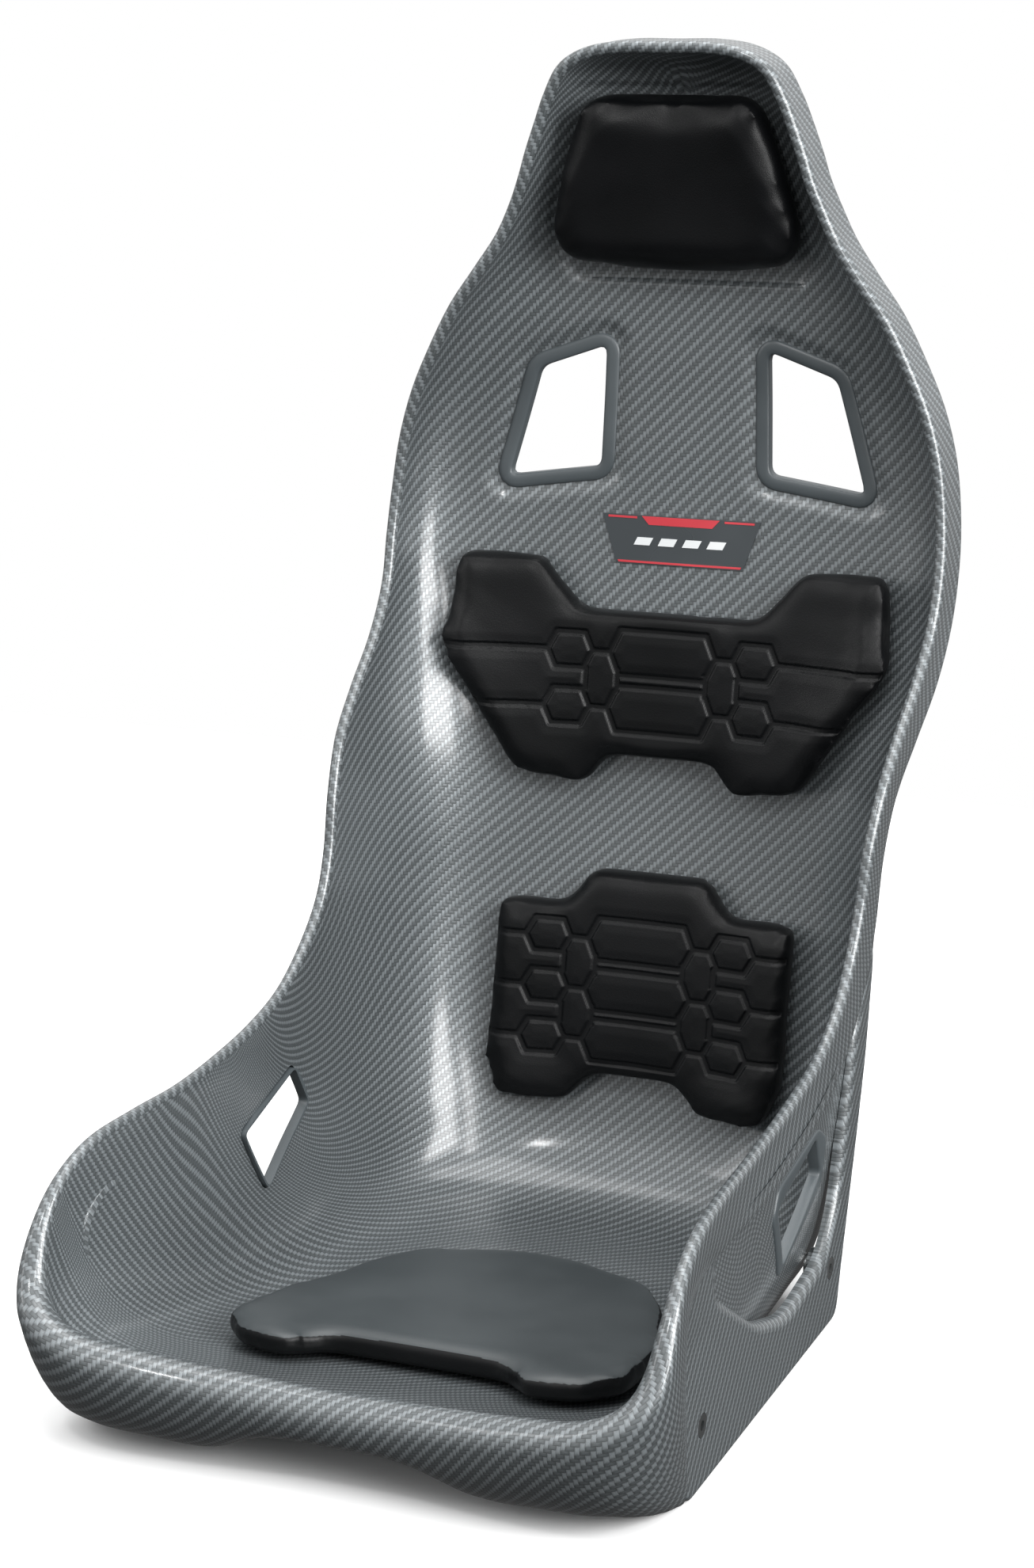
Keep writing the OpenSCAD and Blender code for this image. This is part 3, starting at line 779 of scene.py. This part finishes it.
# Section of a harness frame: sleeve, rounded inner lip, shallow crown and soft outer edge
BEZEL_PROFILE = [(0.0, -7.0), (0.0, -2.0), (0.0, 0.6), (0.05, 1.5), (0.16, 2.1), (0.4, 2.3), (0.7, 2.1),
                 (0.9, 1.4), (0.98, 0.6), (1.0, -0.4), (0.27, -0.5), (0.25, -7.0)]
LAP_PROFILE = [(0.0, -7.0), (0.0, 0.3), (0.06, 1.1), (0.2, 1.3), (0.8, 1.3), (0.94, 1.0), (1.0, 0.2),
               (1.0, -0.4), (0.2, -0.5), (0.18, -7.0)]
for mirror, hand in ((1, "left"), (-1, "right")):
    opening = rounded(np.array(HARNESS_SLOT), 7) * [mirror, 1]
    slot_frame("harness_frame_" + hand, "harness_bezel_" + hand, DISHED, FORWARD,
               lambda p: (p[0], 300, p[1]), opening, grown(opening, BEZEL_W), BEZEL_PROFILE)
    lap = rounded(np.array(LAP_SLOT) + [SHIFT_Y, 0], 5)
    hexagon = rounded(np.array(LAP_RECESS) + [SHIFT_Y, 0], 8)
    slot_frame("lap_slot_frame_" + hand, "lap_slot_trim_" + hand, OUTSIDE,
               (mirror, 0, 0), lambda p: (mirror * 230, p[0], p[1]), lap, hexagon, LAP_PROFILE)


def raised_shape(name, outline, low, high, finish):
    """A thin shape that follows the wall, from low to high above it."""
    n = len(outline)
    points = [on_surface(PLAIN, (p[0], 300, p[1]), FORWARD) + Vector(FORWARD) * level
              for level in (low, high) for p in outline]
    faces = [list(range(n)), list(range(2 * n - 1, n - 1, -1))]
    faces += [[i, (i + 1) % n, n + (i + 1) % n, n + i] for i in range(n)]
    piece = new_piece(name, np.array([tuple(p) for p in points]), faces, finish)
    piece.data.set_sharp_from_angle(angle=math.radians(30))
    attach(piece, "seat")
    return piece


def badge():
    """A dark plate with plain red and pale bars."""
    low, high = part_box("badge_plate")
    half, z0, z1 = high.x / MM, low.z / MM, high.z / MM

    def band(x0, x1, x2, x3, z_low, z_high, steps=14):
        """Outline of a bar from x0 to x1 along its foot and from x3 to x2 along its head."""
        foot = [(x0 + (x1 - x0) * t, z_low) for t in np.linspace(0, 1, steps)]
        head = [(x2 + (x3 - x2) * t, z_high) for t in np.linspace(0, 1, steps)]
        return foot + head

    plate = raised_shape("badge_plate_face", band(-half * 0.8, half * 0.8, half, -half, z0, z1),
                         -0.6, 1.1, BADGE_FACE)
    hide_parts("badge_plate")
    raised_shape("badge_top_bar", band(-26, 26, 32, -32, z1 - 7, z1 - 0.5), 0.9, 1.5, BADGE_RED)
    raised_shape("badge_foot_bar", band(-50, 50, 51, -51, z0 + 1, z0 + 2.6), 0.9, 1.5, BADGE_RED)
    for side in (-1, 1):
        bar = [(side * x, z) for x, z in ((36, z1 - 2.6), (60, z1 - 2.6), (60, z1 - 1), (36, z1 - 1))]
        raised_shape(f"badge_side_bar_{side + 1}", bar, 0.9, 1.5, BADGE_RED)
    middle = (z0 + z1) / 2 - 1
    for i, x in enumerate((-30, -10, 10, 30)):
        bar = [(x - 8, middle - 3), (x + 5, middle - 3), (x + 8, middle + 3), (x - 5, middle + 3)]
        raised_shape(f"badge_pale_bar_{i + 1}", bar, 0.9, 1.5, BADGE_WHITE)


badge()


# ---------------------------------------------------------------- pads
# Cloth runs of the pads: voxel of the starting mesh in mm, frames and pressure
VOXEL, FRAMES, PRESSURE = 4.0, 20, 4.0
# Rest height of a pad's back above the shell, over the hook-and-loop patches
PAD_BACK = 3.4
# Sewn channels of the quilted pads
CHANNEL_DEPTH, CHANNEL_WIDTH = 1.7, 3.6
# A face of the cushion that looks up more than this gets the greyer leather, as painted sheen
PAINTED_SHEEN_FACING = 0.72


def swollen(piece, cap):
    """The piece blown up a little by a cloth run with pressure inside; no point moves further than cap."""
    rest = read_points(piece.data)
    step = piece.modifiers.new("swell", "CLOTH")
    step.settings.use_pressure = True
    step.settings.uniform_pressure_force = PRESSURE
    step.settings.effector_weights.gravity = 0
    for number in range(1, FRAMES + 1):
        SCENE.frame_set(number)
    graph = bpy.context.evaluated_depsgraph_get()
    made = bpy.data.meshes.new_from_object(piece.evaluated_get(graph))
    move = read_points(made) - rest
    bpy.data.meshes.remove(made)
    piece.modifiers.clear()
    SCENE.frame_set(1)
    far = np.linalg.norm(move, axis=1, keepdims=True)
    return rest + move * np.minimum(1, cap / np.maximum(far, 1e-9))


def heights(points, tree, along):
    """How far each point stands from the shell along the pad's own way off."""
    way = Vector(along)
    made = np.zeros(len(points))
    for i, p in enumerate(points):
        hit = tree.ray_cast(Vector(p) + way * 60, -way, 300)[0]
        made[i] = (Vector(p) - hit).dot(way) if hit is not None else 10
    return made


def quilt(points, normals, along, plane, seams, depth, width):
    """Sewn channels pressed in along the seams on the face that looks the pad's way."""
    flat = points[:, plane]
    starts = np.array([a for a, b in seams], float)
    ends = np.array([b for a, b in seams], float)
    d = segment_distance(flat, starts, ends)
    front = smooth_step(normals @ np.array(along), 0.35, 0.7)
    pressed = depth * ramp_down(d, width * 0.5, width * 0.5 + 1.3)
    crown = 0.9 * depth * smooth_step(d, width * 0.5, width * 0.5 + 9)
    return points - np.outer(front * (pressed - 0.45 * crown), along)


def pad(name, body, node, along, seams=(), cap=5.0, finish=None, lift=0):
    """A foam pad in a sewn cover: the core's shape remeshed, swollen, smoothed and quilted.

    cap is the furthest a point may swell, and lift how far the pad's top is drawn up the wall, in mm."""
    piece = bpy.data.objects.new(name, NODES[node + "_foam"].data.copy())
    SCENE.collection.objects.link(piece)
    step = piece.modifiers.new("remesh", "REMESH")
    step.mode, step.voxel_size = "VOXEL", VOXEL * MM
    baked(piece)
    points = swollen(piece, cap)
    height = heights(points, PLAIN, along)
    low = np.maximum(PAD_BACK - height, 0)
    points += np.outer(low, along)
    if lift:
        # The top runs up under the rim, and keeps its height above the wall
        height += low
        points[:, 2] += lift * smooth_step(points[:, 2], points[:, 2].max() - 90, points[:, 2].max())
        points += np.outer(height - heights(points, PLAIN, along), along)
    write_points(piece.data, points)
    step = piece.modifiers.new("soften", "CORRECTIVE_SMOOTH")
    step.factor, step.iterations, step.use_only_smooth = 0.6, 9, True
    step = piece.modifiers.new("divide", "SUBSURF")
    step.levels = step.render_levels = 2
    baked(piece)
    if seams:
        points = read_points(piece.data)
        normals = np.empty(len(points) * 3)
        piece.data.vertices.foreach_get("normal", normals)
        plane = [0, 1] if along == UPWARD else [0, 2]
        points = quilt(points, normals.reshape(-1, 3), along, plane, seams, CHANNEL_DEPTH, CHANNEL_WIDTH)
        write_points(piece.data, points)
    piece.data.materials.clear()
    piece.data.materials.append(finish or LEATHER)
    piece.data.shade_smooth()
    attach(piece, body)
    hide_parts(node + "_cover", node + "_foam")
    return piece


def hexagon_rows(rows, edge, tall, link):
    """Channels of a quilted panel. Each row is a line that opens round small and long hexagons."""
    seams = []
    small = [(57.5, 0), (64, 1), (87, 1), (94, 0)]
    long_half = [(0, 1.3), (35, 1.3), (43, 0)]
    for z in rows:
        for side in (-1, 1):
            for sign in (-1, 1):
                for path in (small, long_half):
                    line = [(side * x, z + sign * t * tall) for x, t in path]
                    seams += list(zip(line, line[1:]))
            seams.append(((side * 43, z), (side * 57.5, z)))
            seams.append(((side * 94, z), (side * edge(z), z)))
    for upper, lower in zip(rows, rows[1:]):
        for side in (-1, 1):
            for x in link:
                seams.append(((side * x, upper - tall), (side * x, lower + tall)))
    return seams


SHOULDER_ROWS = (430, 387)
LUMBAR_ROWS = (210, 171, 132)
pad("head_pad_leather", "head_pad", "head_pad", FORWARD, cap=6, lift=9)
pad("shoulder_pad_leather", "shoulder_pad", "shoulder_pad", FORWARD,
    hexagon_rows(SHOULDER_ROWS, lambda z: 181 if z > 400 else 152, 13.5, (36, 62)))
pad("lumbar_pad_leather", "lumbar_pad", "lumbar_pad", FORWARD,
    hexagon_rows(LUMBAR_ROWS, lambda z: 122, 12.5, (36, 62)))
cushion = pad("cushion_leather", "seat_cushion", "cushion", UPWARD, cap=3)
# The cushion's sides keep the black leather; faces that look up get the greyer copy, painted sheen of the
# light falling on its top
cushion.data.materials.append(CUSHION_PAINTED_SHEEN)
for face in cushion.data.polygons:
    face.material_index = int(face.normal.z > PAINTED_SHEEN_FACING)

# ---------------------------------------------------------------- nodes that keep their CAD shape
KEPT = {"side_inserts_left": INSERT_STEEL, "side_inserts_right": INSERT_STEEL}
KEPT.update({n: HOOK_TAPE for n in NODES if n.endswith("_loop") or n.endswith("_hook_patch")})
for kept, finish in KEPT.items():
    NODES[kept].data.materials.clear()
    NODES[kept].data.materials.append(finish)


# ---------------------------------------------------------------- stage
def studio():
    size = 3.2
    floor = new_piece("floor", np.array([[-1, -1, 0], [1, -1, 0], [1, 1, 0], [-1, 1, 0]]) * size / MM / 2,
                      [[0, 1, 2, 3]], FLOOR_PAPER)
    world = bpy.data.worlds.new("studio")
    SCENE.world = world
    world.use_nodes = True
    # The dome that lights the seat is bright overhead and dim below, so undersides fall off softly.
    # Seen directly, the backdrop is plain white like the floor
    tree = world.node_tree
    place = add(tree, "TexCoord").outputs["Generated"]
    rise = add(tree, "SeparateXYZ", place).outputs[2]
    dome = add(tree, "MapRange", rise, -0.35, 0.7, 0.08, 1.2)
    straight = add(tree, "LightPath").outputs["Is Camera Ray"]
    strength = add(tree, "Math", dome, straight, operation="MAXIMUM")
    sky = tree.nodes["Background"]
    sky.inputs[0].default_value = (1, 1, 1, 1)
    tree.links.new(strength.outputs[0], sky.inputs[1])
    # The floor catches the shadow but throws no light back up
    floor.visible_diffuse = False
    floor.visible_glossy = False
    camera = bpy.data.objects.new("camera", bpy.data.cameras.new("camera"))
    SCENE.collection.objects.link(camera)
    SCENE.camera = camera
    camera.location = CAMERA_PLACE
    camera.rotation_mode = "QUATERNION"
    camera.rotation_quaternion = Vector(CAMERA_AIM).to_track_quat("-Z", "Y")
    camera.data.lens = 73.3
    camera.data.sensor_width = 36
    SCENE.view_settings.view_transform = "Standard"
    for name, place, aim, width, height, power in LIGHTS:
        light = bpy.data.objects.new(name, bpy.data.lights.new(name, "AREA"))
        SCENE.collection.objects.link(light)
        light.location = place
        light.rotation_mode = "QUATERNION"
        light.rotation_quaternion = (Vector(aim) - Vector(place)).to_track_quat("-Z", "Y")
        light.data.shape = "RECTANGLE"
        light.data.size, light.data.size_y = width, height
        light.data.energy = power


CAMERA_PLACE = (0.812, -1.990, 0.922)
CAMERA_AIM = (-0.3677, 0.8989, -0.2384)
# Name, place, aim, width, height, power in watts
LIGHTS = [
    ("overhead", (0.2, 0.2, 3.0), (0, 0, 0.4), 2.4, 2.0, 48),
    ("soft_right", (2.6, -0.9, 1.5), (0, 0, 0.4), 1.6, 1.6, 105),
    ("strip_right", (1.5, -1.6, 1.9), (0, 0.2, 0.5), 0.3, 1.6, 16),
    ("strip_left", (-1.9, -1.2, 1.7), (0, 0.1, 0.6), 0.3, 1.6, 8),
    ("spot_front", (-0.15, -1.9, 2.4), (0, 0, 0.5), 0.22, 0.22, 10)]
studio()
